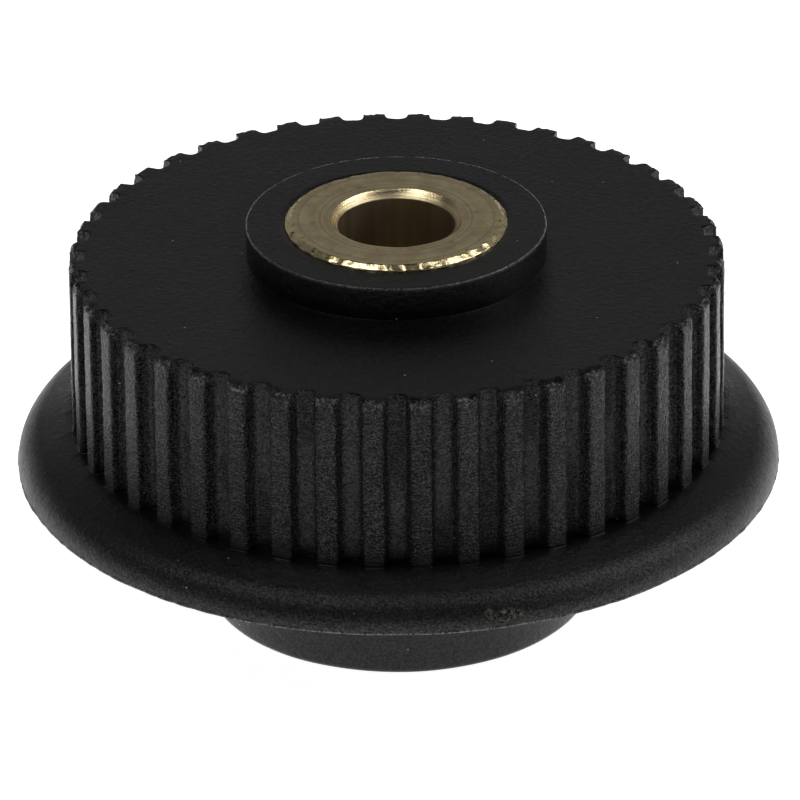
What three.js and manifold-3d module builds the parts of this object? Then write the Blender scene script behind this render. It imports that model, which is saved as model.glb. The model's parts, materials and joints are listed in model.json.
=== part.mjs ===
import * as THREE from 'three';
import { mergeVertices } from 'three/addons/utils/BufferGeometryUtils.js';
import Module from 'manifold-3d';

// Timing pulley for a belt of 0.080 inch pitch, moulded in black plastic round a brass insert.
// Millimetres. +Z runs up the bore, and the lower end of the insert lies on z = 0.
// Lathe profiles are [radius, height] corners listed from the bottom up, with the solid inside them.

const wasm = await Module();
wasm.setup();

// Belt teeth
const TEETH = 44;
const BELT_PITCH = 2.032;
const PITCH_LINE_OFFSET = 0.254;
const TIP_RADIUS = (TEETH * BELT_PITCH) / (2 * Math.PI) - PITCH_LINE_OFFSET;
const GROOVE_DEPTH = 0.69;
const ROOT_RADIUS = TIP_RADIUS - GROOVE_DEPTH;
const LAND_WIDTH = 0.85;
const FLOOR_WIDTH = 0.8;
const LAND_CORNER_RADIUS = 0.1;
const FLOOR_CORNER_RADIUS = 0.25;
const TOOTH_CHAMFER_RADIAL = 0.15;
const TOOTH_CHAMFER_HEIGHT = 0.23;

// Insert
const BORE_RADIUS = 2.5;
const BORE_CHAMFER = 0.33;
const INSERT_RADIUS = 4.75;
const INSERT_PROUD = 0.19;
const INSERT_CHAMFER_RADIAL = 0.28;
const RETENTION_GROOVE_DEPTH = 0.5;
const RETENTION_GROOVE_WIDTH = 2.4;

// Hub, flange, toothed wheel and boss, stacked up the axis
const HUB_RADIUS = 8.27;
const HUB_LENGTH = 6.3;
const HUB_EDGE_RADIUS = 0.25;
const FLANGE_RADIUS = 16.36;
const FLANGE_THICKNESS = 1.88;
const FLANGE_LEDGE = 0.12;
const RIM_CORNER_HEIGHT = 1.12;
const RIM_RADIUS = 1.4;
const FACE_WIDTH = 7.75;
const BOSS_RADIUS = 6.41;
const BOSS_HEIGHT = 1.48;
const BOSS_EDGE_RADIUS = 0.08;
const BOSS_FOOT_RADIUS = 0.15;

const HUB_END = INSERT_PROUD;
const FLANGE_UNDERSIDE = HUB_END + HUB_LENGTH;
const TOOTH_FOOT = FLANGE_UNDERSIDE + FLANGE_THICKNESS;
const WHEEL_TOP = TOOTH_FOOT + FACE_WIDTH;
const BOSS_TOP = WHEEL_TOP + BOSS_HEIGHT;
const INSERT_TOP = BOSS_TOP + INSERT_PROUD;

// How far one solid runs into the next before they are joined, or past it before it is cut away
const RUN_IN = 0.5;

// Facets
const LATHE_SEGMENTS = 2 * TEETH;
const CHAMFER_SEGMENTS = 4 * TEETH;
const CORNER_STEPS = 2;
const RIM_STEPS = 5;

// Corners are [x, y, radius]; one with a radius becomes an arc of the given number of steps.
function roundedOutline(corners, steps) {
  const points = corners.map(([x, y]) => new THREE.Vector2(x, y));
  return corners.flatMap(([, , radius], i) => {
    const corner = points[i];
    if (!radius) return [corner];
    const toBefore = points.at(i - 1).clone().sub(corner).normalize();
    const toAfter = points[(i + 1) % points.length].clone().sub(corner).normalize();
    const halfAngle = Math.acos(toBefore.dot(toAfter)) / 2;
    const inward = toBefore.clone().add(toAfter).normalize();
    const centre = corner.clone().addScaledVector(inward, radius / Math.sin(halfAngle));
    const turn = Math.PI - 2 * halfAngle;
    const side = Math.sign(toAfter.cross(toBefore));
    const start = inward.angle() + Math.PI - (side * turn) / 2;
    return Array.from({ length: steps + 1 }, (_, k) => {
      const angle = start + (side * turn * k) / steps;
      return new THREE.Vector2(Math.cos(angle), Math.sin(angle)).multiplyScalar(radius).add(centre);
    });
  });
}

function lathe(profile, segments) {
  return new THREE.LatheGeometry(profile, segments).rotateX(Math.PI / 2);
}

function toSolid(geometry) {
  const bare = geometry.clone().deleteAttribute('normal').deleteAttribute('uv');
  const welded = mergeVertices(bare);
  const corners = Array.from(welded.index.array);
  const triVerts = [];
  for (let i = 0; i < corners.length; i += 3) {
    const [a, b, c] = corners.slice(i, i + 3);
    if (a !== b && b !== c && c !== a) triVerts.push(a, b, c);
  }
  return new wasm.Manifold(new wasm.Mesh({
    numProp: 3,
    vertProperties: welded.attributes.position.array,
    triVerts: Uint32Array.from(triVerts),
  }));
}

function toGeometry(solid) {
  const { vertProperties, triVerts } = solid.getMesh();
  const geometry = new THREE.BufferGeometry();
  geometry.setAttribute('position', new THREE.BufferAttribute(vertProperties, 3));
  geometry.setIndex(new THREE.BufferAttribute(triVerts, 1));
  geometry.computeVertexNormals();
  return geometry;
}

// One land and one groove after another, with the middle of a groove facing -Y.
function toothOutline() {
  const pitchAngle = (2 * Math.PI) / TEETH;
  const landHalfAngle = LAND_WIDTH / 2 / TIP_RADIUS;
  const floorHalfAngle = FLOOR_WIDTH / 2 / ROOT_RADIUS;
  const corner = (radius, angle, rounding) => [radius * Math.cos(angle), radius * Math.sin(angle), rounding];
  const corners = Array.from({ length: TEETH }, (_, i) => {
    const groove = -Math.PI / 2 + i * pitchAngle;
    const land = groove + pitchAngle / 2;
    return [
      corner(ROOT_RADIUS, groove - floorHalfAngle, FLOOR_CORNER_RADIUS),
      corner(ROOT_RADIUS, groove + floorHalfAngle, FLOOR_CORNER_RADIUS),
      corner(TIP_RADIUS, land - landHalfAngle, LAND_CORNER_RADIUS),
      corner(TIP_RADIUS, land + landHalfAngle, LAND_CORNER_RADIUS),
    ];
  });
  return roundedOutline(corners.flat(), CORNER_STEPS);
}

// Toothed disc whose lands are bevelled at the top by a shallow cone.
function toothedWheel() {
  const foot = TOOTH_FOOT - RUN_IN;
  const disc = new THREE.ExtrudeGeometry(new THREE.Shape(toothOutline()), {
    depth: WHEEL_TOP - foot,
    bevelEnabled: false,
  }).translate(0, 0, foot);
  const conedBlank = lathe(roundedOutline([
    [0, foot - RUN_IN],
    [TIP_RADIUS + TOOTH_CHAMFER_RADIAL, foot - RUN_IN],
    [TIP_RADIUS + TOOTH_CHAMFER_RADIAL, WHEEL_TOP - 2 * TOOTH_CHAMFER_HEIGHT],
    [TIP_RADIUS - 2 * TOOTH_CHAMFER_RADIAL, WHEEL_TOP + TOOTH_CHAMFER_HEIGHT],
    [0, WHEEL_TOP + TOOTH_CHAMFER_HEIGHT],
  ], CORNER_STEPS), CHAMFER_SEGMENTS);
  return toSolid(disc).intersect(toSolid(conedBlank));
}

// Hub, flange and boss on one core. The flange is level at the feet of the teeth, falls away outside them,
// then rounds over into its rim.
function turnedCore() {
  const flangeInner = ROOT_RADIUS - RUN_IN;
  return toSolid(lathe(roundedOutline([
    [0, HUB_END],
    [HUB_RADIUS, HUB_END, HUB_EDGE_RADIUS],
    [HUB_RADIUS, FLANGE_UNDERSIDE],
    [FLANGE_RADIUS, FLANGE_UNDERSIDE],
    [FLANGE_RADIUS, FLANGE_UNDERSIDE + RIM_CORNER_HEIGHT, RIM_RADIUS],
    [TIP_RADIUS + FLANGE_LEDGE, TOOTH_FOOT],
    [flangeInner, TOOTH_FOOT],
    [BOSS_RADIUS + BOSS_FOOT_RADIUS, TOOTH_FOOT],
    [BOSS_RADIUS + BOSS_FOOT_RADIUS, WHEEL_TOP],
    [BOSS_RADIUS, WHEEL_TOP + BOSS_FOOT_RADIUS],
    [BOSS_RADIUS, BOSS_TOP, BOSS_EDGE_RADIUS],
    [0, BOSS_TOP],
  ], RIM_STEPS), LATHE_SEGMENTS));
}

// Outside of the insert from its lower end to its upper end, with the groove that the plastic fills.
function insertWall(lowEnd, highEnd) {
  const middle = (HUB_END + BOSS_TOP) / 2;
  const grooveRadius = INSERT_RADIUS - RETENTION_GROOVE_DEPTH;
  const grooveLow = middle - RETENTION_GROOVE_WIDTH / 2;
  const grooveHigh = middle + RETENTION_GROOVE_WIDTH / 2;
  return [
    [INSERT_RADIUS, lowEnd],
    [INSERT_RADIUS, grooveLow],
    [grooveRadius, grooveLow],
    [grooveRadius, grooveHigh],
    [INSERT_RADIUS, grooveHigh],
    [INSERT_RADIUS, highEnd],
  ];
}

function mouldingGeometry() {
  const insertSpace = toSolid(lathe(roundedOutline([
    [0, HUB_END - RUN_IN],
    ...insertWall(HUB_END - RUN_IN, BOSS_TOP + RUN_IN),
    [0, BOSS_TOP + RUN_IN],
  ], CORNER_STEPS), LATHE_SEGMENTS));
  return toGeometry(turnedCore().add(toothedWheel()).subtract(insertSpace));
}

function insertGeometry() {
  const profile = roundedOutline([
    [BORE_RADIUS, BORE_CHAMFER],
    [BORE_RADIUS + BORE_CHAMFER, 0],
    [INSERT_RADIUS - INSERT_CHAMFER_RADIAL, 0],
    ...insertWall(HUB_END, BOSS_TOP),
    [INSERT_RADIUS - INSERT_CHAMFER_RADIAL, INSERT_TOP],
    [BORE_RADIUS + BORE_CHAMFER, INSERT_TOP],
    [BORE_RADIUS, INSERT_TOP - BORE_CHAMFER],
    [BORE_RADIUS, BORE_CHAMFER],
  ], CORNER_STEPS);
  return lathe(profile, LATHE_SEGMENTS);
}

function namedMesh(name, geometry, colour, roughness, metalness) {
  const material = new THREE.MeshStandardMaterial({ color: colour, roughness, metalness, flatShading: true });
  const mesh = new THREE.Mesh(geometry, material);
  mesh.name = name;
  return mesh;
}

const BLACK_PLASTIC = 0x2a2b2c;
const TURNED_BRASS = 0x9a8a60;

const group = new THREE.Group();
group.add(namedMesh('pulley_moulding', mouldingGeometry(), BLACK_PLASTIC, 0.6, 0));
group.add(namedMesh('bore_insert', insertGeometry(), TURNED_BRASS, 0.4, 1));

export default group;
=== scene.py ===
"""Looks of a moulded timing pulley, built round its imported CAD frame.

The black moulding and the brass insert are rebuilt as fine meshes in the places of the CAD solids, and keep
to their outlines within about 0.2 mm.
Shapes are worked out in millimetres and scaled to metres when their meshes are made.
"""

import json
import math

import bpy
import numpy as np
from mathutils import Matrix, Vector


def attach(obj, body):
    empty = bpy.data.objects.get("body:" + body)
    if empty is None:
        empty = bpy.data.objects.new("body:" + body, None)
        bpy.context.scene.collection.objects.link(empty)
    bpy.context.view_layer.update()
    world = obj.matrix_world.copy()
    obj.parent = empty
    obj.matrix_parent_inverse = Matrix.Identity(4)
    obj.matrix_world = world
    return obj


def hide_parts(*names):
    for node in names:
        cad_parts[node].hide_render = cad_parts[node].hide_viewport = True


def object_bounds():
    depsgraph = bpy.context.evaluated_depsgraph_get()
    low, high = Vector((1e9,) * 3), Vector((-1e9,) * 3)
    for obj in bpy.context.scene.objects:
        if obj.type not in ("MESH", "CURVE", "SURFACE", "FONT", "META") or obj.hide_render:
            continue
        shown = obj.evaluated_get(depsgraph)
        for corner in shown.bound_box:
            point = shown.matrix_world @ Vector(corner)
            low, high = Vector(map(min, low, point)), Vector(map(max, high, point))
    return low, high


MM = 0.001

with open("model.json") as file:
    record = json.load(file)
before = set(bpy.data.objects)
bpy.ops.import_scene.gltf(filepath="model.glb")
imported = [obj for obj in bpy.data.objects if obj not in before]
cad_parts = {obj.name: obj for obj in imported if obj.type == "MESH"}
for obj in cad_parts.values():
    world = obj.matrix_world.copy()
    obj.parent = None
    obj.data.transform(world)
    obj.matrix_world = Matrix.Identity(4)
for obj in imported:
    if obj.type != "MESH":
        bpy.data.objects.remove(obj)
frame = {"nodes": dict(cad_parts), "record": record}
cad_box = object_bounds()


# Sizes read from the frame


def mount_height(name):
    """Height in mm of the flat face that a mount names."""
    mount = next(m for m in frame["record"]["mounts"] if m["name"] == name)
    return mount["pos_m"][2] / MM


def radii(node, low, high):
    """Distances in mm from the axis of a CAD node's vertices whose heights lie between low and high."""
    places = np.array([v.co for v in frame["nodes"][node].data.vertices]) / MM
    inside = (places[:, 2] > low) & (places[:, 2] < high)
    return np.hypot(places[inside, 0], places[inside, 1])


HUB_END = mount_height("hub_end")
FLANGE_UNDERSIDE = mount_height("flange_underside")
WHEEL_TOP = mount_height("wheel_top_face")
BOSS_TOP = mount_height("boss_end")
INSERT_END = mount_height("insert_lower_end")
INSERT_TOP = mount_height("insert_upper_end")

TOUCH = 0.01
CHAMFER_HEIGHT = 0.23
HUB_RADIUS = radii("pulley_moulding", HUB_END, FLANGE_UNDERSIDE - TOUCH).max()
FLANGE_RADIUS = radii("pulley_moulding", FLANGE_UNDERSIDE - TOUCH, WHEEL_TOP).max()
TIP_RADIUS = radii("pulley_moulding", WHEEL_TOP - 2 * CHAMFER_HEIGHT, WHEEL_TOP - TOUCH).max()
BOSS_RADIUS = radii("pulley_moulding", BOSS_TOP - 0.2, BOSS_TOP + TOUCH).max()
INSERT_RADIUS = radii("bore_insert", INSERT_END, INSERT_TOP).max()
BORE_RADIUS = radii("bore_insert", INSERT_END, INSERT_TOP).min()

# Sizes that the frame doesn't name, as they are in the CAD model

TEETH = 44
GROOVE_DEPTH = 0.69
ROOT_RADIUS = TIP_RADIUS - GROOVE_DEPTH
LAND_WIDTH = 0.85
FLOOR_WIDTH = 0.8
TOOTH_CHAMFER = 0.15
TOOTH_FOOT = FLANGE_UNDERSIDE + 1.88
LEDGE_RADIUS = TIP_RADIUS + 0.12
RIM_CORNER = (FLANGE_RADIUS, FLANGE_UNDERSIDE + 1.12)
RIM_RADIUS = 1.4
BORE_CHAMFER = 0.33
INSERT_CHAMFER = 0.28
RETENTION_DEPTH = 0.5
RETENTION_WIDTH = 2.4

# Roundings of the fine mesh, not all as in the CAD model

LAND_ROUNDING = 0.13
FLOOR_ROUNDING = 0.3
HUB_END_ROUNDING = 0.25
HUB_FOOT_ROUNDING = 0.2
TOOTH_FOOT_ROUNDING = 0.05
BOSS_FOOT_ROUNDING = 0.03
BOSS_EDGE_ROUNDING = 0.09

# How coarse the moulded skin is, from 0 (smooth) to 1

BOSS_END_SKIN = 0.2
HUB_SKIN = 0.4
TOP_SKIN = 0.5
RIM_SKIN = 0.8
BOSS_WALL_SKIN = 0.87
TOOTH_SKIN = 1

# A coordinate in mm beyond every outline, for the far end of a straight side
FAR = 99


# Mesh helpers


def waves(places, wavelength, seed, stretch=(1, 1, 1), count=18):
    """Smooth noise with a spread of about 1, as a sum of sine waves in seeded random directions."""
    random = np.random.default_rng(seed)
    directions = random.normal(size=(count, 3))
    directions /= np.linalg.norm(directions, axis=1)[:, None]
    turns = 2 * np.pi / (wavelength * random.uniform(0.7, 1.6, count))
    phases = random.uniform(0, 2 * np.pi, count)
    steps = (places / np.array(stretch)) @ (directions * turns[:, None]).T
    return np.sin(steps + phases).sum(-1) / math.sqrt(count / 2)


def fillet(before, corner, after, radius, steps):
    """Points of the arc that rounds a corner of an outline."""
    before, corner, after = (np.array(p, float) for p in (before, corner, after))
    inward = [(p - corner) / np.linalg.norm(p - corner) for p in (before, after)]
    half = math.acos(float(np.clip(inward[0] @ inward[1], -1, 1))) / 2
    middle = (inward[0] + inward[1]) / np.linalg.norm(inward[0] + inward[1])
    centre = corner + middle * radius / math.sin(half)
    cross = inward[1][0] * inward[0][1] - inward[1][1] * inward[0][0]
    turn = math.copysign(math.pi - 2 * half, cross)
    start = math.atan2(-middle[1], -middle[0]) - turn / 2
    angles = start + turn * np.arange(steps + 1) / steps
    return centre + radius * np.stack([np.cos(angles), np.sin(angles)], 1)


def profile(corners):
    """Rows of an outline through corners (x, y, radius, arc steps, rows to the next corner)."""
    count = len(corners)
    arcs = []
    for i, (x, y, radius, steps, _) in enumerate(corners):
        if radius:
            arcs.append(fillet(corners[i - 1][:2], (x, y), corners[(i + 1) % count][:2], radius, steps))
        else:
            arcs.append(np.array([[x, y]], float))
    rows = []
    for i, arc in enumerate(arcs):
        rows.extend(arc)
        start, end = arc[-1], arcs[(i + 1) % count][0]
        between = corners[i][4]
        rows.extend(start + (end - start) * k / between for k in range(1, between))
    return np.array(rows)


def ring_mesh(name, sizes, places, **marks):
    """A closed mesh from rings of points in mm, its last ring joined to its first.

    Sizes are the number of points in each ring; a ring can have half or twice as many as the ring
    before it. Marks are values for each point, which the material reads.
    """
    starts = np.concatenate([[0], np.cumsum(sizes)[:-1]])
    quads, triangles = [], []
    for ring, size in enumerate(sizes):
        after = (ring + 1) % len(sizes)
        low, high = starts[ring] + np.arange(size), starts[after] + np.arange(sizes[after])
        low_next, high_next = np.roll(low, -1), np.roll(high, -1)
        if size == sizes[after]:
            quads.append(np.stack([low, low_next, high_next, high], 1))
        elif size > sizes[after]:
            middle, end = low[1::2], low_next[1::2]
            triangles.append(np.stack([low[::2], middle, high], 1))
            triangles.append(np.stack([middle, high_next, high], 1))
            triangles.append(np.stack([middle, end, high_next], 1))
        else:
            middle, end = high[1::2], high_next[1::2]
            triangles.append(np.stack([low, middle, high[::2]], 1))
            triangles.append(np.stack([low, low_next, middle], 1))
            triangles.append(np.stack([low_next, end, middle], 1))
    return mesh_object(name, places, [*quads, *triangles], marks)


def mesh_object(name, places, faces, marks):
    """A smooth object from points in mm and arrays of faces."""
    corners = np.concatenate([array.ravel() for array in faces])
    lengths = np.concatenate([np.full(len(array), array.shape[1]) for array in faces])
    starts = np.concatenate([[0], np.cumsum(lengths)[:-1]])
    mesh = bpy.data.meshes.new(name)
    mesh.vertices.add(len(places))
    mesh.vertices.foreach_set("co", (places * MM).astype(np.float32).ravel())
    mesh.loops.add(len(corners))
    mesh.loops.foreach_set("vertex_index", corners.astype(np.int32))
    mesh.polygons.add(len(starts))
    mesh.polygons.foreach_set("loop_start", starts.astype(np.int32))
    mesh.polygons.foreach_set("use_smooth", np.ones(len(starts), bool))
    for mark, values in marks.items():
        attribute = mesh.attributes.new(mark, "FLOAT", "POINT")
        attribute.data.foreach_set("value", np.asarray(values, np.float32))
    mesh.update(calc_edges=True)
    mesh.validate()
    made = bpy.data.objects.new(name, mesh)
    bpy.context.scene.collection.objects.link(made)
    return made


def place_piece(made, material, slot, *nodes):
    """Gives a piece its material and its body, and hides the CAD nodes that it stands for."""
    made.data.materials.append(material)
    even = made.modifiers.new("even_normals", "WEIGHTED_NORMAL")
    even.weight = 80
    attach(made, "root")
    if nodes:
        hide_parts(*nodes)
    return made


# The moulding


def tooth_columns():
    """Angles and outline radii in mm of the columns of points round the toothed wheel."""
    pitch = 2 * math.pi / TEETH
    land_half = LAND_WIDTH / 2 / TIP_RADIUS
    floor_half = FLOOR_WIDTH / 2 / ROOT_RADIUS
    corners = []
    for i in range(TEETH):
        groove = -math.pi / 2 + i * pitch
        land = groove + pitch / 2
        for radius, angle, rounding, steps, between in [
            (ROOT_RADIUS, groove - floor_half, FLOOR_ROUNDING, 3, 2),
            (ROOT_RADIUS, groove + floor_half, FLOOR_ROUNDING, 3, 2),
            (TIP_RADIUS, land - land_half, LAND_ROUNDING, 3, 4),
            (TIP_RADIUS, land + land_half, LAND_ROUNDING, 3, 2),
        ]:
            x, y = radius * math.cos(angle), radius * math.sin(angle)
            corners.append((x, y, rounding, steps, between))
    outline = profile(corners)
    return np.unwrap(np.arctan2(outline[:, 1], outline[:, 0])), np.hypot(*outline.T)


def flange_top(radius):
    """Height in mm of the flange's upper side: level at the teeth, then falling to the rim."""
    fall = (radius - LEDGE_RADIUS) / (RIM_CORNER[0] - LEDGE_RADIUS)
    return TOOTH_FOOT - np.maximum(fall, 0) * (TOOTH_FOOT - RIM_CORNER[1])


def moulding():
    """The hub, flange, toothed wheel and boss as one closed mesh round the space for the insert."""
    fine_angles, outline = tooth_columns()
    coarse_angles = fine_angles[::2]
    # 1 on a land, 0 on the floor of a groove
    land = (outline - ROOT_RADIUS) / GROOVE_DEPTH
    rows = []

    def row(radius, height, wear=0.0, tooth=0.0, skin=0.0, crease_shade=0.0):
        """Adds a ring of points and their marks, with a point for each value if the radius is an array."""
        angles = fine_angles if np.ndim(radius) else coarse_angles
        values = (radius, height, wear, tooth, skin, crease_shade)
        rows.append([angles, *(value * np.ones_like(angles) for value in values)])

    # Downwards through the space for the insert
    middle = (HUB_END + BOSS_TOP) / 2
    for radius, height in [
        (INSERT_RADIUS, BOSS_TOP - 0.05),
        (INSERT_RADIUS, middle + RETENTION_WIDTH / 2),
        (INSERT_RADIUS - RETENTION_DEPTH, middle + RETENTION_WIDTH / 2),
        (INSERT_RADIUS - RETENTION_DEPTH, middle - RETENTION_WIDTH / 2),
        (INSERT_RADIUS, middle - RETENTION_WIDTH / 2),
        (INSERT_RADIUS, HUB_END + 0.05),
    ]:
        row(radius, height)

    # Hub's end and wall
    row(INSERT_RADIUS + 0.04, HUB_END)
    for radius in np.linspace(INSERT_RADIUS + 0.8, HUB_RADIUS - 0.4, 4):
        row(radius, HUB_END, skin=HUB_SKIN)
    corner = (HUB_RADIUS, HUB_END)
    for radius, height in fillet((0, HUB_END), corner, (HUB_RADIUS, FAR), HUB_END_ROUNDING, 5):
        row(radius, height, wear=0.3, skin=HUB_SKIN)
    for height in np.linspace(HUB_END + 0.6, FLANGE_UNDERSIDE - 0.6, 7):
        row(HUB_RADIUS, height, skin=HUB_SKIN)
    corner = (HUB_RADIUS, FLANGE_UNDERSIDE)
    for radius, height in fillet((HUB_RADIUS, 0), corner, (FAR, FLANGE_UNDERSIDE), HUB_FOOT_ROUNDING, 3):
        row(radius, height, skin=HUB_SKIN)

    # Flange's underside, the flash at the parting line, and the rim
    for radius in np.linspace(HUB_RADIUS + 1, FLANGE_RADIUS - 0.35, 4):
        row(radius, FLANGE_UNDERSIDE, skin=HUB_SKIN)
    row(FLANGE_RADIUS - 0.1, FLANGE_UNDERSIDE)
    row(FLANGE_RADIUS, FLANGE_UNDERSIDE, wear=1)
    row(FLANGE_RADIUS, FLANGE_UNDERSIDE + 0.06, wear=1)
    row(FLANGE_RADIUS - 0.03, FLANGE_UNDERSIDE + 0.09, wear=0.3, skin=RIM_SKIN)
    wall, slope = (FLANGE_RADIUS, FLANGE_UNDERSIDE), (LEDGE_RADIUS, TOOTH_FOOT)
    for radius, height in fillet(wall, RIM_CORNER, slope, RIM_RADIUS, 14):
        row(radius - 0.02, height, skin=RIM_SKIN)

    # Flange's upper side, drawn in from the round rim to the feet of the teeth
    rim_end = rows[-1][1][0] - 0.2
    row(rim_end, flange_top(rim_end), skin=0.7)
    foot = outline + TOOTH_FOOT_ROUNDING
    for share in np.linspace(0.15, 1, 6):
        radius = rim_end + (foot - rim_end) * share
        row(radius, flange_top(radius), skin=0.7 - 0.3 * share)
    # The rounded feet of the teeth carry the crease mark, which paints shade on them
    for lean in (math.pi / 4, math.pi / 2):
        radius = foot - TOOTH_FOOT_ROUNDING * math.sin(lean)
        height = flange_top(foot) + TOOTH_FOOT_ROUNDING * (1 - math.cos(lean))
        row(radius, height, tooth=land, skin=0.5, crease_shade=1)

    # Faces of the teeth and their bevelled upper ends
    upwards = np.linspace(TOOTH_FOOT + 0.35, WHEEL_TOP - CHAMFER_HEIGHT - 0.08, 46)
    for height in (TOOTH_FOOT + 0.1, *upwards):
        row(outline, height, tooth=land, skin=TOOTH_SKIN)
    for share in (0, 0.2, 0.45, 0.7, 0.9):
        reach = TIP_RADIUS - TOOTH_CHAMFER * share
        height = WHEEL_TOP - CHAMFER_HEIGHT * (1 - share)
        row(np.minimum(outline, reach), height, wear=0.5 * land, tooth=land, skin=TOOTH_SKIN)
    upper = np.minimum(outline, TIP_RADIUS - TOOTH_CHAMFER) - 0.03
    row(upper, WHEEL_TOP, wear=0.4, tooth=land, skin=TOOTH_SKIN)

    # Wheel's top face, drawn in from the teeth to the round foot of the boss
    inner = ROOT_RADIUS - 0.35
    for share in (0.15, 0.5, 1):
        row(upper + (inner - upper) * share, WHEEL_TOP, skin=TOP_SKIN)
    for radius in np.linspace(inner - 0.6, BOSS_RADIUS + 0.5, 5):
        row(radius, WHEEL_TOP, skin=TOP_SKIN)
    corner = (BOSS_RADIUS, WHEEL_TOP)
    # The rounded foot of the boss carries the crease mark, which paints shade on it
    for radius, height in fillet((FAR, WHEEL_TOP), corner, (BOSS_RADIUS, FAR), BOSS_FOOT_ROUNDING, 3):
        row(radius, height, skin=BOSS_END_SKIN, crease_shade=1)

    # Boss's wall, worn edge and end
    for height in (*np.linspace(WHEEL_TOP + 0.35, BOSS_TOP - 0.3, 3), BOSS_TOP - 0.15):
        row(BOSS_RADIUS, height, skin=BOSS_WALL_SKIN)
    corner = (BOSS_RADIUS, BOSS_TOP)
    edge = fillet((BOSS_RADIUS, 0), corner, (0, BOSS_TOP), BOSS_EDGE_ROUNDING, 4)
    for (radius, height), wear in zip(edge, (0.3, 0.7, 0.9, 0.7, 0.2)):
        row(radius, height, wear=wear, skin=RIM_SKIN)
    row(BOSS_RADIUS - 0.15, BOSS_TOP, skin=BOSS_END_SKIN)
    for radius in np.linspace(BOSS_RADIUS - 0.4, INSERT_RADIUS + 0.3, 3):
        row(radius, BOSS_TOP, skin=BOSS_END_SKIN)
    row(INSERT_RADIUS + 0.03, BOSS_TOP, skin=BOSS_END_SKIN)

    sizes = [len(ring[0]) for ring in rows]
    angle, radius, height, wear, tooth, skin, crease_shade = (np.concatenate(part) for part in zip(*rows))
    places = np.stack([radius * np.cos(angle), radius * np.sin(angle), height], -1)
    random = np.random.default_rng(10)
    face = (height > TOOTH_FOOT + 0.05) & (skin == TOOTH_SKIN)

    # Sides of the lands are jagged and wander, and their upper ends are ragged
    side = face * np.clip((tooth - 0.7) * 5, 0, 1) * (tooth < 0.999)
    sideways = waves(places, 0.42, 11) * 0.016 + waves(places, 2.2, 12) * 0.01
    sideways = sideways + random.normal(size=radius.shape) * 0.01
    angle += side * sideways / radius
    radius += face * (tooth > 0.9) * random.normal(size=radius.shape) * 0.004
    ragged = face * np.clip((height - (WHEEL_TOP - 0.5)) / 0.4, 0, 1) * (0.3 + 0.7 * tooth)
    bites = np.clip(waves(places, 0.4, 13) - 0.1, 0, 2) + np.clip(waves(places, 0.2, 14), 0, 2) * 0.5
    radius -= ragged * bites * 0.06
    crest = np.clip((height - (WHEEL_TOP - CHAMFER_HEIGHT)) / CHAMFER_HEIGHT, 0, 1)
    height -= ragged * crest * (np.clip(waves(places, 0.45, 19), 0, 2) * 0.06 + 0.02)
    # The whole skin is a little uneven
    outer = radius > INSERT_RADIUS + 0.2
    radius += waves(places, 3.5, 15) * 0.005 * outer
    height += waves(places, 4, 16) * 0.004 * outer
    # The flash's edge is uneven, and the boss's edge is nicked
    flash = (wear == 1) & (height < FLANGE_UNDERSIDE + 0.2)
    radius += flash * np.clip(waves(places, 0.5, 17), -1, 2) * 0.014
    nicked = (wear > 0.6) & (height > WHEEL_TOP + 1)
    height -= nicked * np.clip(waves(places, 0.5, 18) - 0.5, 0, 2) * 0.03
    radius = np.minimum(radius, FLANGE_RADIUS + 0.05)

    places = np.stack([radius * np.cos(angle), radius * np.sin(angle), height], -1)
    rim = np.clip((skin - 0.45) / 0.35, 0, 1) * (height < TOOTH_FOOT)
    marks = {"wear": wear, "tooth": tooth, "skin": skin, "crease_shade": crease_shade}
    marks |= {"side": side, "ragged": np.minimum(ragged, 1), "rim": rim}
    return ring_mesh("pulley_moulding_fine", sizes, places, **marks)


# The insert


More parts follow.
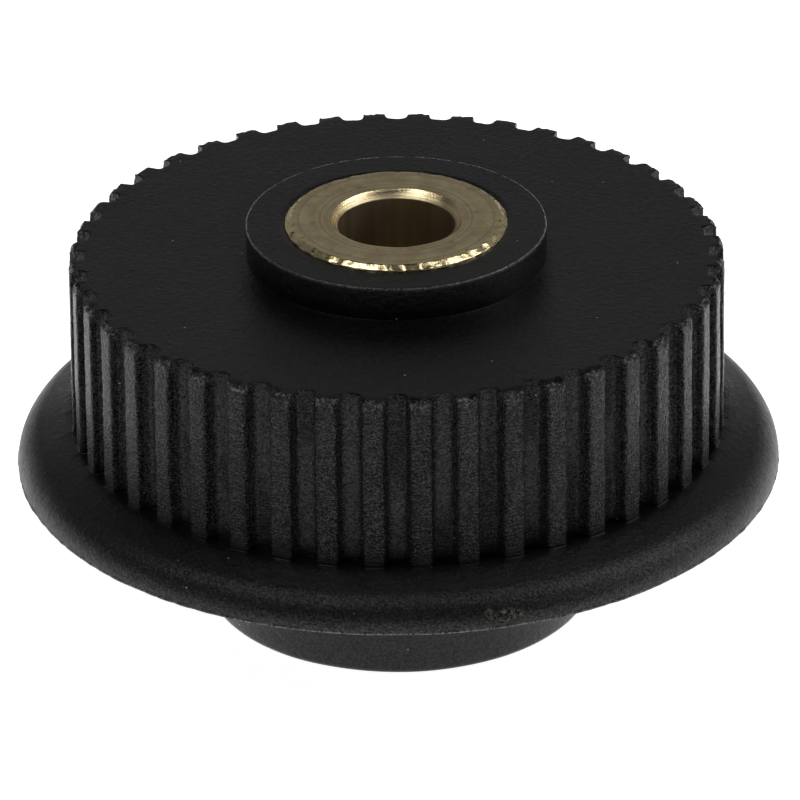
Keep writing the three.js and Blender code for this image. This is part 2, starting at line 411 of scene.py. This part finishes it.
def insert():
    """The brass insert as one closed mesh, with a countersink and a chamfer at each end."""
    middle = (HUB_END + BOSS_TOP) / 2
    groove_radius = INSERT_RADIUS - RETENTION_DEPTH
    rows = profile([
        (BORE_RADIUS, INSERT_TOP - BORE_CHAMFER, 0.04, 2, 14),
        (BORE_RADIUS, BORE_CHAMFER, 0.04, 2, 3),
        (BORE_RADIUS + BORE_CHAMFER, INSERT_END, 0.03, 2, 4),
        (INSERT_RADIUS - INSERT_CHAMFER, INSERT_END, 0.05, 3, 3),
        (INSERT_RADIUS, HUB_END, 0.04, 2, 3),
        (INSERT_RADIUS, middle - RETENTION_WIDTH / 2, 0, 0, 1),
        (groove_radius, middle - RETENTION_WIDTH / 2, 0, 0, 2),
        (groove_radius, middle + RETENTION_WIDTH / 2, 0, 0, 1),
        (INSERT_RADIUS, middle + RETENTION_WIDTH / 2, 0, 0, 3),
        (INSERT_RADIUS, BOSS_TOP, 0.04, 2, 5),
        (INSERT_RADIUS - INSERT_CHAMFER, INSERT_TOP, 0.05, 4, 8),
        (BORE_RADIUS + BORE_CHAMFER, INSERT_TOP, 0.03, 2, 5),
    ])
    columns = 360
    angle = np.broadcast_to(2 * np.pi * np.arange(columns) / columns, (len(rows), columns))
    radius = np.repeat(rows[:, :1], columns, 1)
    height = np.repeat(rows[:, 1:], columns, 1)
    places = np.stack([radius * np.cos(angle), radius * np.sin(angle), height], -1)
    # The outer chamfer is bruised, and the bore's chamfer is a little off centre
    chamfered = radius > INSERT_RADIUS - INSERT_CHAMFER - 0.06
    edge = chamfered & ((height > BOSS_TOP) | (height < HUB_END))
    outer = chamfered & (height > BOSS_TOP)
    height = height - outer * np.clip(waves(places, 0.9, 21), -0.6, 2) * 0.018
    radius = radius + outer * waves(places, 0.6, 22) * 0.008
    mouth = (radius > BORE_RADIUS + 0.1) & (radius < BORE_RADIUS + BORE_CHAMFER + 0.05)
    mouth = mouth & (height > BOSS_TOP)
    radius = radius + mouth * (0.05 * np.cos(angle) + waves(places, 1.5, 23) * 0.01)
    height = np.minimum(height, INSERT_TOP)
    places = np.stack([radius * np.cos(angle), radius * np.sin(angle), height], -1).reshape(-1, 3)
    bore = radius < BORE_RADIUS + 0.02
    marks = {"wear": edge.ravel(), "bore": bore.ravel(), "mouth": mouth.ravel()}
    return ring_mesh("bore_insert_fine", [columns] * len(rows), places, **marks)


# The gate scar


def gate_scar():
    """Torn stub of the gate, a small crust of plastic on the flange's rim."""
    across, up = 70, 34
    width, low, high = 1.9, FLANGE_UNDERSIDE + 0.12, FLANGE_UNDERSIDE + 0.86
    right_of_front = 15.5
    centre_angle = math.radians(-90 + right_of_front)
    s, t = np.meshgrid(np.linspace(-1, 1, across), np.linspace(0, 1, up))
    angle = centre_angle + s * width / 2 / FLANGE_RADIUS
    height = low + (high - low) * t
    # The rim stands upright to the height at which its rounding begins
    upright = 0.11
    rise = np.clip((height - FLANGE_UNDERSIDE - upright) / RIM_RADIUS, 0, 1)
    base = FLANGE_RADIUS - 0.02 - RIM_RADIUS * (1 - np.sqrt(1 - rise**2))
    flat = np.stack([s * width / 2, t * (high - low), 0 * s], -1)
    reach = np.hypot(s * 1.05, (t - 0.5) * 2.2) + 0.25 * waves(flat, 0.5, 31)
    mask = np.clip((1 - reach) * 3, 0, 1)
    crumbs = waves(flat, 0.34, 32) * 0.03 + np.random.default_rng(33).normal(size=s.shape) * 0.035
    lift = np.where(mask > 0, mask * np.clip(0.03 + crumbs, -0.04, 0.13) - 0.005, -0.08)
    front, back = base + lift, base - 0.35
    places = np.concatenate([
        np.stack([r * np.cos(angle), r * np.sin(angle), height], -1).reshape(-1, 3)
        for r in (front, back)
    ])
    count = across * up
    index = np.arange(count).reshape(up, across)
    face = np.stack([index[:-1, :-1], index[:-1, 1:], index[1:, 1:], index[1:, :-1]], -1)
    faces = [face.reshape(-1, 4)]
    faces.append(faces[0][:, ::-1] + count)
    border = np.concatenate([index[0, :-1], index[:-1, -1], index[-1, :0:-1], index[:0:-1, 0]])
    after = np.roll(border, -1)
    faces.append(np.stack([after, border, border + count, after + count], -1))
    torn = np.concatenate([(mask * np.clip(0.4 + crumbs * 14, 0, 1)).ravel(), np.zeros(count)])
    return mesh_object("gate_scar", places, faces, {"torn": torn})


# Materials


class Nodes:
    """Short ways to add nodes to a material or a world."""

    def __init__(self, owner, shader="Principled BSDF"):
        owner.use_nodes = True
        self.owner = owner
        self.tree = owner.node_tree
        self.shader = self.tree.nodes[shader]

    def add(self, kind, settings=None, **inputs):
        node = self.tree.nodes.new("ShaderNode" + kind)
        for key, value in (settings or {}).items():
            setattr(node, key, value)
        for key, value in inputs.items():
            self.set(node.inputs[key.replace("_", " ")], value)
        return node

    def set(self, socket, value):
        if isinstance(value, bpy.types.NodeSocket):
            self.tree.links.new(value, socket)
        else:
            socket.default_value = value

    def place(self, stretch=(1, 1, 1)):
        """Place on the object in mm, divided by stretch along each axis."""
        coordinates = self.add("TexCoord").outputs["Object"]
        scale = tuple(1 / MM / s for s in stretch)
        return self.add("Mapping", Vector=coordinates, Scale=scale).outputs["Vector"]

    def noise(self, place, scale, detail=2.0, roughness=0.5, distortion=0.0):
        character = {"Detail": detail, "Roughness": roughness, "Distortion": distortion}
        return self.add("TexNoise", Vector=place, Scale=scale, **character).outputs["Fac"]

    def math(self, operation, first, *others):
        """A Math node; with more than two values, a chain that takes them in from left to right."""
        for second in others or (0.0,):
            node = self.add("Math", {"operation": operation})
            self.set(node.inputs[0], first)
            self.set(node.inputs[1], second)
            first = node.outputs[0]
        return first

    def remap(self, value, low, high, to_low=0.0, to_high=1.0, curve="SMOOTHSTEP"):
        limits = {"From_Min": low, "From_Max": high, "To_Min": to_low, "To_Max": to_high}
        node = self.add("MapRange", {"interpolation_type": curve}, Value=value, **limits)
        return node.outputs["Result"]

    def mix(self, share, first, second):
        node = self.add("Mix", {"data_type": "RGBA"}, Factor=share, A=first, B=second)
        return node.outputs["Result"]

    def mark(self, name):
        return self.add("Attribute", {"attribute_name": name}).outputs["Fac"]

    def bump(self, height, distance, before=None):
        node = self.add("Bump", Height=height, Distance=distance)
        if before is not None:
            self.set(node.inputs["Normal"], before)
        return node.outputs["Normal"]


def grey(value, warmth=1.0):
    """A grey, yellower as its warmth rises above 1."""
    return (value * warmth, value, value / warmth, 1)


RIPPLE_SPACING = 0.18


def black_plastic():
    """Black moulded skin with grain, fibres, ripples and specks, worn or crumbled edges, and painted shade
    in corners, creases, groove floors and ripple valleys.
    """
    n = Nodes(bpy.data.materials.new("black_glass_filled_plastic"))
    place = n.place()
    wear, tooth, skin = n.mark("wear"), n.mark("tooth"), n.mark("skin")
    side, ragged, rim = n.mark("side"), n.mark("ragged"), n.mark("rim")
    grain = n.noise(place, 3.8, detail=4, roughness=0.7)
    fine = n.noise(place, 12, detail=3, roughness=0.65)
    cloud = n.noise(place, 0.35, detail=3)
    # Glass fibres near the skin show as short pale dashes
    fibres = n.math("MAXIMUM", n.noise(n.place((1, 1, 0.35)), 6, detail=2, distortion=1.2), fine)
    pale = n.math("MULTIPLY", n.remap(fibres, 0.5, 0.66), n.remap(skin, 0.85, 1, 0.12, 1))
    # Flow ripples cross some of the tooth faces, close together up the tooth
    up = n.add("SeparateXYZ", Vector=place).outputs[2]
    bend = n.math("MULTIPLY", n.noise(place, 0.9, detail=5, roughness=0.72), 30)
    ripple = n.math("SINE", n.math("ADD", n.math("MULTIPLY", up, 2 * math.pi / RIPPLE_SPACING), bend))
    ripple = n.remap(ripple, -1, 1)
    patch = n.remap(n.noise(n.place((1, 1, 2)), 0.42, detail=1), 0.45, 0.58)
    flank = n.math("ABSOLUTE", n.math("SUBTRACT", tooth, 0.5))
    rippled = n.math("MULTIPLY", patch, n.remap(skin, 0.9, 1), n.remap(flank, 0.4, 0.48))
    # Painted shade darkens the valleys between the ripples, in colour and in shine
    ripple_shade = n.math("MULTIPLY", rippled, n.remap(ripple, 0.5, 0), n.remap(grain, 0.35, 0.55))
    crumbs = n.noise(place, 6, detail=3, roughness=0.75)
    specks = n.add("TexVoronoi", {"feature": "F1"}, Vector=place, Scale=0.8).outputs["Distance"]
    speck = n.remap(specks, 0.032, 0.018)
    scuffs = n.noise(place, 9, detail=3, roughness=0.7)
    worn = n.math("MULTIPLY", n.remap(wear, 0.25, 0.9), n.remap(scuffs, 0.38, 0.58))
    base = n.mix(n.remap(grain, 0.35, 0.65), grey(0.001), grey(0.005))
    base = n.mix(n.remap(cloud, 0.3, 0.7, 0, 0.4), base, grey(0.004, 1.02))
    # Fewer pale fibres show on the floors of the grooves, a painted shade there
    base = n.mix(n.math("MULTIPLY", pale, n.remap(tooth, 0, 1, 0.55, 1)), base, grey(0.055, 1.01))
    base = n.mix(n.math("MULTIPLY", ripple_shade, 0.7), base, grey(0.0008))
    base = n.mix(n.math("MULTIPLY", worn, 0.8), base, grey(0.15, 1.01))
    frayed = n.math("MULTIPLY", ragged, tooth, n.remap(crumbs, 0.54, 0.62))
    base = n.mix(frayed, base, grey(0.19))
    # Painted shade lies in the corner where the teeth meet the flange, as a dark grey here and as less
    # shine below
    from_above = n.remap(up, TOOTH_FOOT + 0.9, TOOTH_FOOT)
    from_below = n.remap(up, TOOTH_FOOT - 0.6, TOOTH_FOOT - 0.1)
    corner = n.math("MULTIPLY", from_above, n.remap(skin, 0.2, 0.5), from_below)
    base = n.mix(n.math("MULTIPLY", corner, 0.7), base, grey(0.007))
    base = n.mix(n.math("MULTIPLY", speck, 0.9), base, grey(0.5))
    n.set(n.shader.inputs["Base Color"], base)
    rough = n.remap(grain, 0.3, 0.75, 0.24, 0.12)
    rough = n.math("ADD", rough, n.math("MULTIPLY", rim, 0.18))
    n.set(n.shader.inputs["Roughness"], n.math("ADD", rough, n.remap(cloud, 0.3, 0.7, 0, 0.05)))
    # Fine glints on the skin
    glints = n.remap(n.noise(place, 9, detail=3, roughness=0.8), 0.42, 0.6, -0.5, 0.5)
    contrast = n.math("MAXIMUM", n.remap(skin, 0.8, 1, 0.45, 0.95), n.math("MULTIPLY", rim, 0.85))
    glints = n.math("ADD", n.math("MULTIPLY", glints, contrast), 0.5)
    shine = n.mix(glints, grey(0.2), grey(0.9))
    # Little shine on crumbled ends and on pits along the sides of the lands, and painted shade, as little
    # shine, in corners and creases, on the floors of the grooves and between ripples
    pits_and_shade = n.math("MAXIMUM", n.math("MULTIPLY", side, 0.6), ragged)
    pits_and_shade = n.math(
        "MAXIMUM",
        n.math("MULTIPLY", pits_and_shade, n.remap(crumbs, 0.56, 0.46)),
        n.math("MULTIPLY", corner, n.remap(skin, 0.8, 1), 0.7),
        n.math("MULTIPLY", n.mark("crease_shade"), 0.9),
        n.math("MULTIPLY", n.remap(tooth, 0.7, 0, 0, 0.22), n.remap(skin, 0.9, 1)),
        n.math("MULTIPLY", ripple_shade, 0.45),
    )
    n.set(n.shader.inputs["Specular IOR Level"], 0.58)
    n.set(n.shader.inputs["Specular Tint"], n.mix(pits_and_shade, shine, grey(0.07)))
    normal = n.bump(n.math("MULTIPLY", ripple, rippled), 0.035 * MM)
    coarse = n.math("MAXIMUM", n.remap(skin, 0.8, 1, 0.34, 1), n.math("MULTIPLY", rim, 0.42))
    normal = n.bump(n.math("MULTIPLY", grain, coarse), 0.09 * MM, normal)
    normal = n.bump(n.math("MULTIPLY", crumbs, n.math("MAXIMUM", side, ragged)), 0.17 * MM, normal)
    sharp = n.math("ADD", n.remap(skin, 0.3, 1, 0.8, 1), n.math("MULTIPLY", rim, 0.1))
    normal = n.bump(n.math("MULTIPLY", fine, sharp), 0.018 * MM, normal)
    n.set(n.shader.inputs["Normal"], normal)
    return n.owner


def torn_plastic():
    """Black plastic, pale where the gate was torn off."""
    n = Nodes(bpy.data.materials.new("torn_plastic"))
    place = n.place()
    grain = n.noise(place, 9, detail=4, roughness=0.7)
    torn = n.math("MULTIPLY", n.mark("torn"), n.remap(grain, 0.47, 0.56))
    n.set(n.shader.inputs["Base Color"], n.mix(torn, grey(0.001), (0.34, 0.35, 0.27, 1)))
    n.set(n.shader.inputs["Roughness"], n.remap(grain, 0.3, 0.7, 0.5, 0.3))
    n.set(n.shader.inputs["Specular IOR Level"], 0.32)
    n.set(n.shader.inputs["Normal"], n.bump(grain, 0.1 * MM))
    return n.owner


def turned_brass():
    """Brass turned on a lathe, duller in its bore and bruised along its edges."""
    n = Nodes(bpy.data.materials.new("turned_brass"))
    place = n.place()
    wear, bore = n.mark("wear"), n.mark("bore")
    split = n.add("SeparateXYZ", Vector=place)
    square = n.math("ADD", n.math("POWER", split.outputs[0], 2), n.math("POWER", split.outputs[1], 2))
    radius = n.math("SQRT", square)
    # Tool marks are fine rings, which differ from one radius and height to the next
    rings_at = n.add("CombineXYZ", X=radius, Y=split.outputs[2])
    rings = n.noise(rings_at.outputs[0], 16, detail=3, roughness=0.75)
    patch = n.noise(place, 0.9, detail=4, roughness=0.6)
    stain = n.noise(place, 3.5, detail=4, roughness=0.65)
    pores = n.noise(place, 12, detail=3, roughness=0.7)
    # Drawn streaks along the bore
    streaks = n.noise(n.place((1, 1, 14)), 1.1, detail=3, roughness=0.5)
    base = n.mix(n.remap(patch, 0.35, 0.65), (0.80, 0.63, 0.37, 1), (0.99, 0.84, 0.50, 1))
    base = n.mix(n.remap(rings, 0.53, 0.38, 0, 0.48), base, (0.42, 0.32, 0.18, 1))
    base = n.mix(n.remap(stain, 0.56, 0.7, 0, 0.55), base, (0.34, 0.25, 0.14, 1))
    bruised = n.remap(n.noise(place, 5, detail=3), 0.42, 0.56)
    base = n.mix(n.math("MULTIPLY", wear, bruised), base, (0.92, 0.76, 0.42, 1))
    grime = n.math("MULTIPLY", wear, n.remap(stain, 0.56, 0.66, 0, 0.8))
    base = n.mix(grime, base, (0.10, 0.08, 0.045, 1))
    inside = n.mix(n.remap(streaks, 0.3, 0.7), (0.36, 0.29, 0.19, 1), (0.52, 0.43, 0.30, 1))
    base = n.mix(bore, base, inside)
    n.set(n.shader.inputs["Base Color"], base)
    n.set(n.shader.inputs["Metallic"], 1.0)
    rough = n.remap(rings, 0.3, 0.7, 0.4, 0.3)
    rough = n.math("ADD", rough, n.math("MULTIPLY", bore, 0.1))
    polished = n.math("MAXIMUM", wear, n.mark("mouth"))
    n.set(n.shader.inputs["Roughness"], n.math("SUBTRACT", rough, n.math("MULTIPLY", polished, 0.13)))
    flat = n.math("SUBTRACT", 1.0, n.math("MAXIMUM", wear, bore))
    normal = n.bump(n.math("MULTIPLY", rings, flat), 0.007 * MM)
    normal = n.bump(n.math("MULTIPLY", streaks, bore), 0.04 * MM, normal)
    normal = n.bump(n.math("MULTIPLY", pores, flat), 0.012 * MM, normal)
    normal = n.bump(n.math("MULTIPLY", wear, n.noise(place, 3, detail=4)), 0.035 * MM, normal)
    n.set(n.shader.inputs["Normal"], normal)
    return n.owner


# Floor, surroundings, lights and camera


def floor():
    """White lit table top, wide enough to fill the view behind the pulley."""
    half = 6.0
    mesh = bpy.data.meshes.new("floor")
    corners = [(-half, -half), (half, -half), (half, half), (-half, half)]
    mesh.from_pydata([(x, y, 0) for x, y in corners], [], [(0, 1, 2, 3)])
    made = bpy.data.objects.new("floor", mesh)
    bpy.context.scene.collection.objects.link(made)
    n = Nodes(bpy.data.materials.new("white_table"))
    n.set(n.shader.inputs["Base Color"], grey(0.8))
    n.set(n.shader.inputs["Roughness"], 0.9)
    n.set(n.shader.inputs["Emission Color"], grey(1.0))
    n.set(n.shader.inputs["Emission Strength"], 0.97)
    mesh.materials.append(n.owner)


def surroundings():
    """Grey studio, dark overhead, and darker in front and far to the left than behind the pulley."""
    n = Nodes(bpy.data.worlds.new("studio"), "Background")
    bpy.context.scene.world = n.owner
    x, y, z = n.add("SeparateXYZ", Vector=n.add("TexCoord").outputs["Generated"]).outputs
    overhead = n.remap(z, 0.5, 0.85, 0.185, 0.01, "LINEAR")
    front = n.remap(y, -0.5, 0.4, 0.35, 1.0, "LINEAR")
    left = n.remap(x, -0.8, -0.55, 0.4, 1.0, "LINEAR")
    n.set(n.shader.inputs["Color"], grey(1.0))
    n.set(n.shader.inputs["Strength"], n.math("MULTIPLY", overhead, front, left))


def softbox(name, azimuth, elevation, width, height, power):
    """Area light that faces the pulley from an azimuth (0 is the camera's side) and an elevation."""
    distance = 0.6
    target = (cad_box[0] + cad_box[1]) / 2
    light = bpy.data.lights.new(name, "AREA")
    light.shape = "RECTANGLE"
    light.size = width
    light.size_y = height
    light.energy = power
    made = bpy.data.objects.new(name, light)
    a, e = math.radians(azimuth), math.radians(elevation)
    away = Vector((math.sin(a) * math.cos(e), -math.cos(a) * math.cos(e), math.sin(e)))
    made.location = target + away * distance
    made.rotation_euler = away.to_track_quat("Z", "Y").to_euler()
    bpy.context.scene.collection.objects.link(made)


def camera():
    """Long lens from the front, 27 degrees above the horizon and rolled slightly."""
    elevation, azimuth, roll = math.radians(27.24), math.radians(0.25), math.radians(-0.6)
    distance = 29.59 * TIP_RADIUS
    lens_in_frames = 12.138
    sideways = 0.0061 * TIP_RADIUS
    drop = 0.4487 * TIP_RADIUS
    right = Vector((math.cos(azimuth), math.sin(azimuth), 0))
    level = Vector((-math.sin(azimuth), math.cos(azimuth), 0))
    forward = level * math.cos(elevation) - Vector((0, 0, math.sin(elevation)))
    up = right.cross(forward)
    centre = Vector((0, 0, WHEEL_TOP))
    data = bpy.data.cameras.new("camera")
    data.sensor_width = 36
    data.lens = lens_in_frames * data.sensor_width
    data.clip_start, data.clip_end = 0.05, 50
    made = bpy.data.objects.new("camera", data)
    place = (centre - forward * distance - up * drop + right * sideways) * MM
    turn = Matrix((right, up, -forward)).transposed().to_4x4()
    made.matrix_world = Matrix.Translation(place) @ turn @ Matrix.Rotation(roll, 4, "Z")
    bpy.context.scene.collection.objects.link(made)
    bpy.context.scene.camera = made


camera()
floor()
surroundings()
softbox("softbox_left", azimuth=-66, elevation=66, width=0.26, height=0.3, power=0.8)
softbox("softbox_right", azimuth=94, elevation=44, width=0.3, height=0.55, power=1.4)

plastic = black_plastic()
place_piece(moulding(), plastic, "black_plastic", "pulley_moulding")
place_piece(insert(), turned_brass(), "turned_brass", "bore_insert")
place_piece(gate_scar(), torn_plastic(), "black_plastic")

bpy.context.scene.view_settings.view_transform = "Standard"
